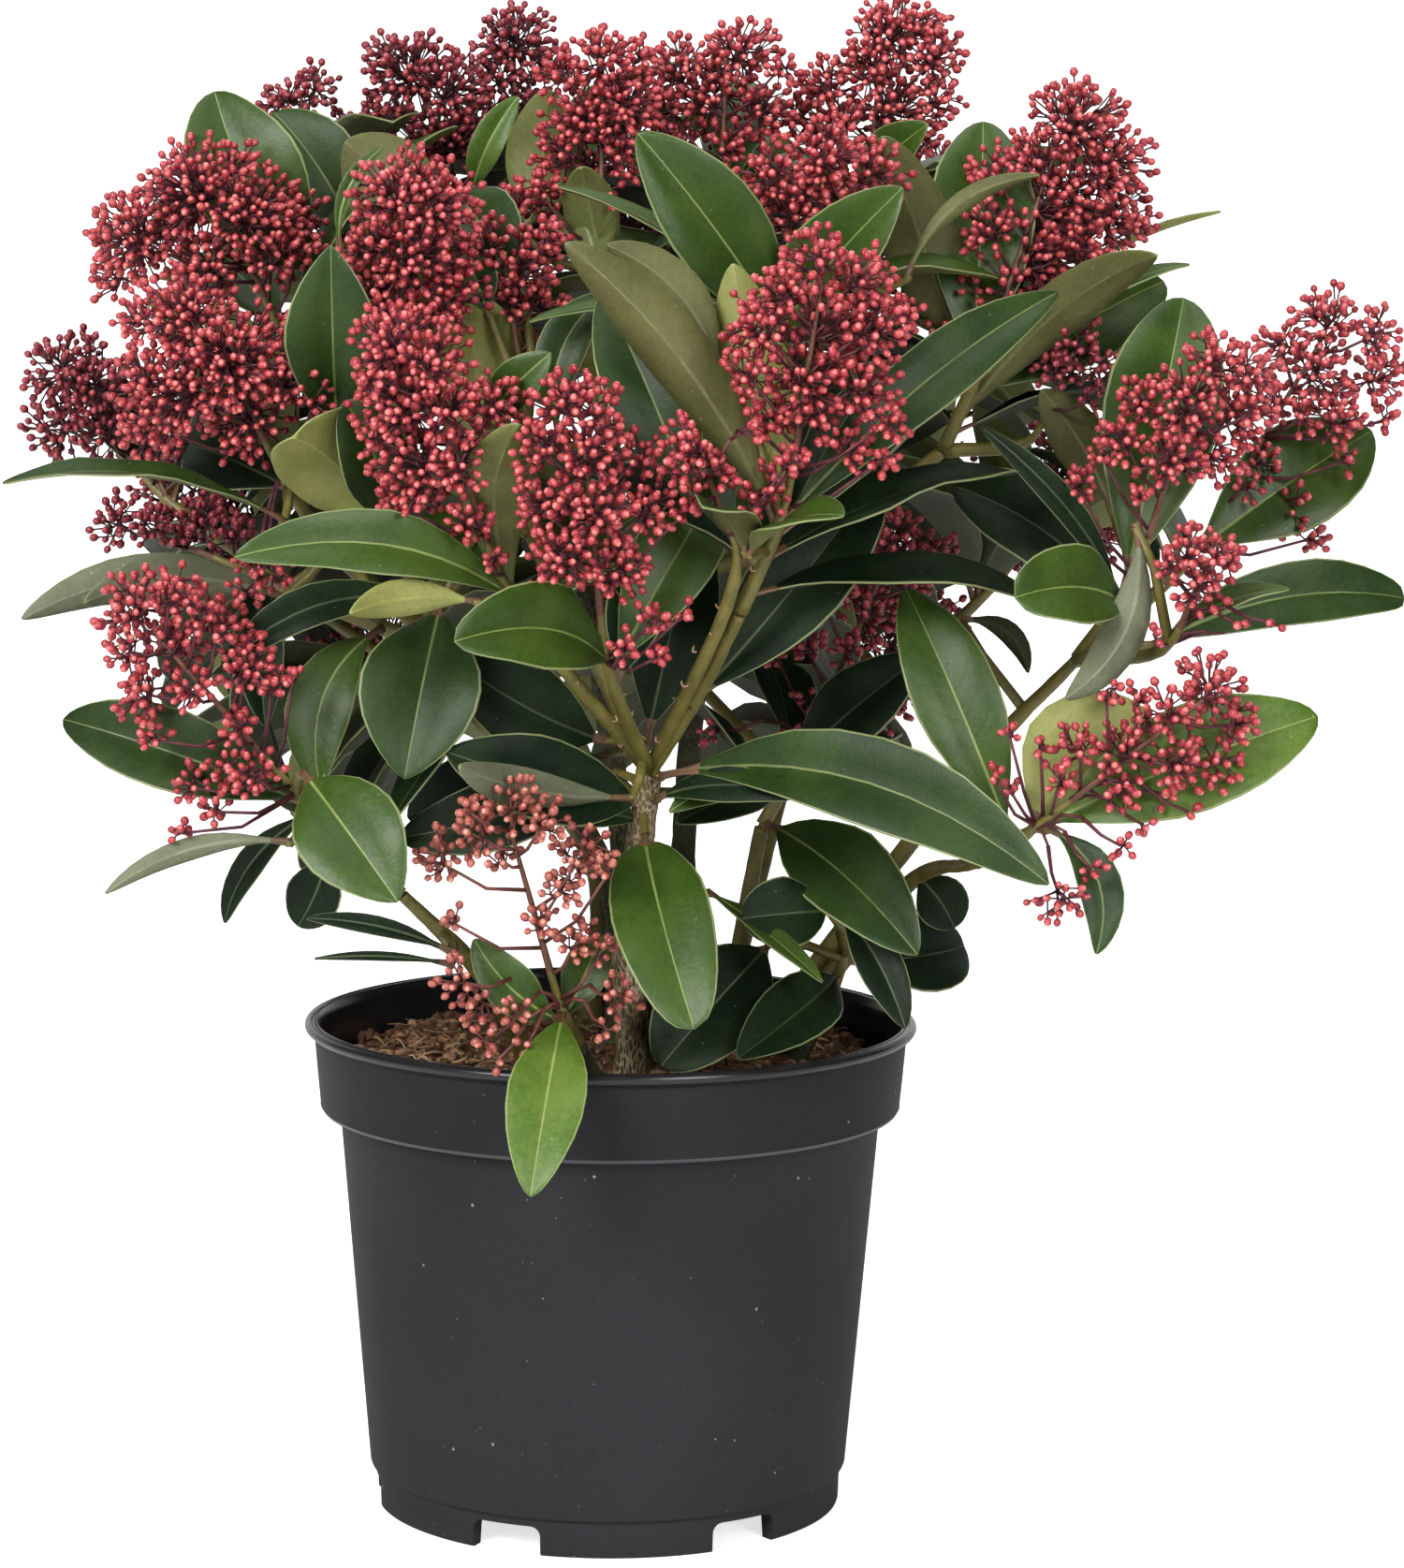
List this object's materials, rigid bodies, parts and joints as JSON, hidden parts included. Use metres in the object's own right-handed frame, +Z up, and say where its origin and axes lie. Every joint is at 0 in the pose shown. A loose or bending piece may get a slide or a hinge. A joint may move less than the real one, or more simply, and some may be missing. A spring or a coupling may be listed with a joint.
{
  "type": "potted skimmia shrub",
  "caption": "Evergreen skimmia shrub in bud, with whorls of glossy leaves and upright heads of red flower buds, in a round black nursery pot filled with compost.",
  "frame": {"origin": "on the ground under the middle of the pot", "axes": "+Z up, -Y towards the plant's front, +X to the right seen from the front"},
  "size_m": [0.425, 0.3633, 0.4661],
  "materials": {
    "pot": "matte charcoal plastic with a glossy rolled lip",
    "soil": "dry fibrous brown peat compost",
    "stem": "brown bark with pale cracks",
    "bough": "smooth olive green twig with leaf scars",
    "foliage": "glossy dark green leaf, matte olive beneath",
    "bloom": "closed coral-crimson buds on maroon stalks"
  },
  "bodies": {
    "root": {"pot": "pot", "soil": "soil", "stem_front": "stem", "stem_left": "stem", "stem_left_back": "stem", "stem_back": "stem", "stem_mid": "stem", "stem_inner": "stem", "stem_right": "stem", "stem_right_high": "stem", "stem_low_front": "stem", "stem_low_right": "stem", "stem_back_left": "stem", "stem_back_right": "stem", "bough_front_right": "bough", "bough_front_mid": "bough", "bough_left": "bough", "bough_left_back": "bough", "bough_left_high": "bough", "bough_back_left": "bough", "bough_back_mid": "bough", "bough_centre_left": "bough", "bough_centre_right": "bough", "bough_back_right": "bough", "bough_right_high": "bough", "shoot_front_centre": "foliage", "shoot_front_right": "foliage", "shoot_front_right_low": "foliage", "shoot_left_centre": "foliage", "shoot_mid": "foliage", "shoot_mid_left": "foliage", "shoot_left": "foliage", "shoot_upper_left": "foliage", "shoot_far_left": "foliage", "shoot_low_left_back": "foliage", "shoot_top_left_back": "foliage", "shoot_top_left": "foliage", "shoot_top_mid_back": "foliage", "shoot_top_mid": "foliage", "shoot_top_right_mid": "foliage", "shoot_top_right": "foliage", "shoot_mid_right": "foliage", "shoot_upper_right": "foliage", "shoot_right": "foliage", "shoot_far_right": "foliage", "shoot_right_low": "foliage", "shoot_low_right": "foliage", "shoot_inner_right": "foliage", "shoot_low_left": "foliage", "shoot_low_front": "foliage", "shoot_right_back": "foliage", "shoot_low_right_back": "foliage", "shoot_back_left_high": "foliage", "shoot_back_mid_high": "foliage", "shoot_back_right_high": "foliage", "shoot_back_left_mid": "foliage", "shoot_back_right_mid": "foliage", "shoot_back_left_low": "foliage", "shoot_back_mid_low": "foliage", "shoot_back_right_low": "foliage"}
  },
  "joints": []
}
